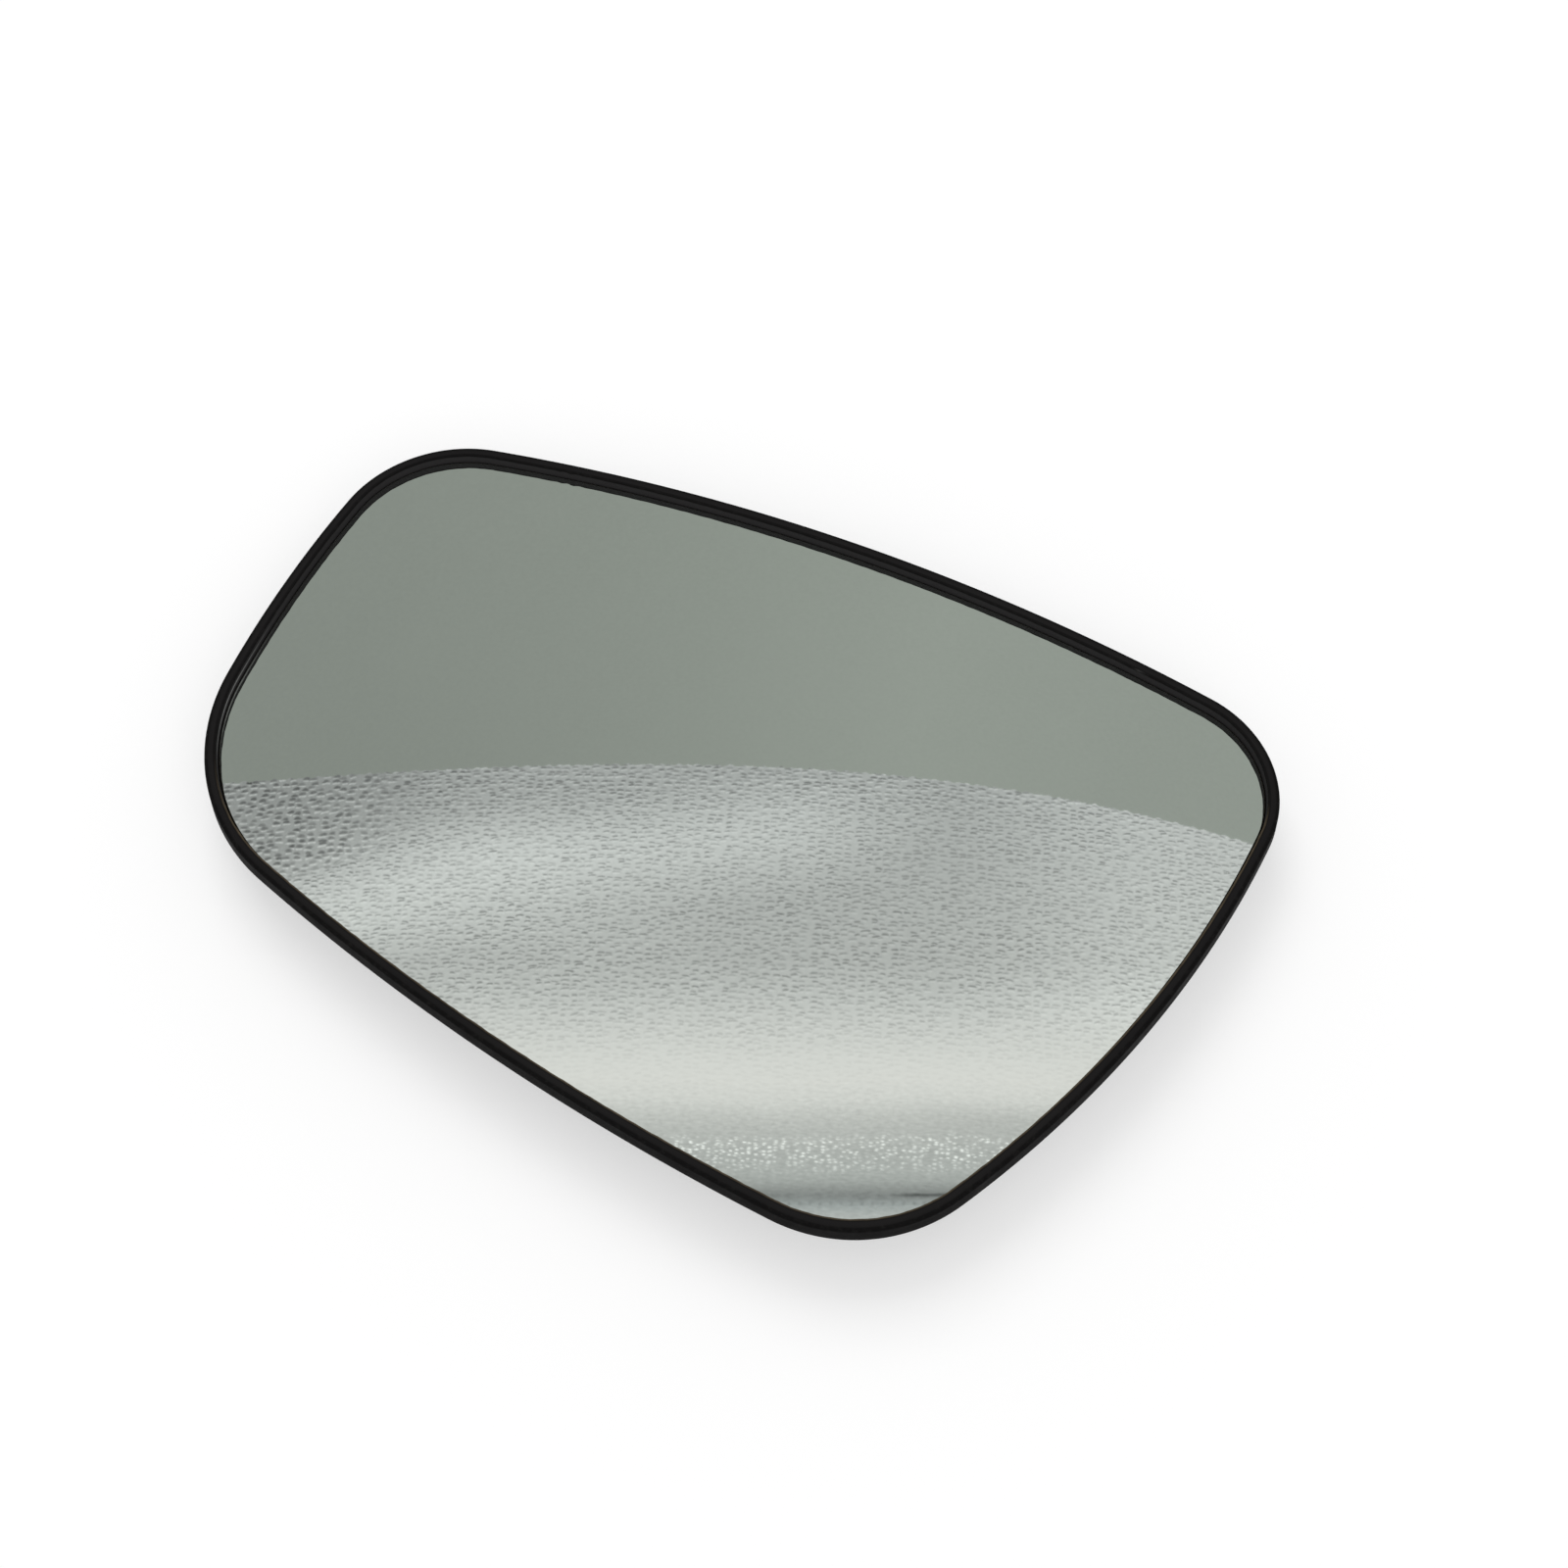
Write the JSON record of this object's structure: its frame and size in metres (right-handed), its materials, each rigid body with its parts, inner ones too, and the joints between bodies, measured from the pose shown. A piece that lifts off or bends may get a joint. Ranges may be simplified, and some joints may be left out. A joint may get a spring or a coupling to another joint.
{
  "type": "car door mirror glass",
  "caption": "Convex car door mirror pane bonded into a moulded backing plate with a raised rim, ribs and a round clip ring that snaps onto the adjuster.",
  "frame": {"origin": "centre of the clip ring's mouth, which is also the middle of the outline, on the plane that the part rests on", "axes": "+Z out of the mirror face along the clip ring's axis, +X along the long side towards the tall end, +Y up the mirror as it hangs in the car"},
  "size_m": [0.1838, 0.1251, 0.0156],
  "materials": {
    "mirror_glass": "silvered glass, slightly green, smooth",
    "adhesive_foam": "closed-cell foam with adhesive on both faces",
    "black_plastic": "moulded black plastic, fine grain with a low sheen"
  },
  "bodies": {
    "root": {"mirror_glass": "mirror_glass", "adhesive_pad": "adhesive_foam", "backing_plate": "black_plastic"}
  },
  "joints": []
}
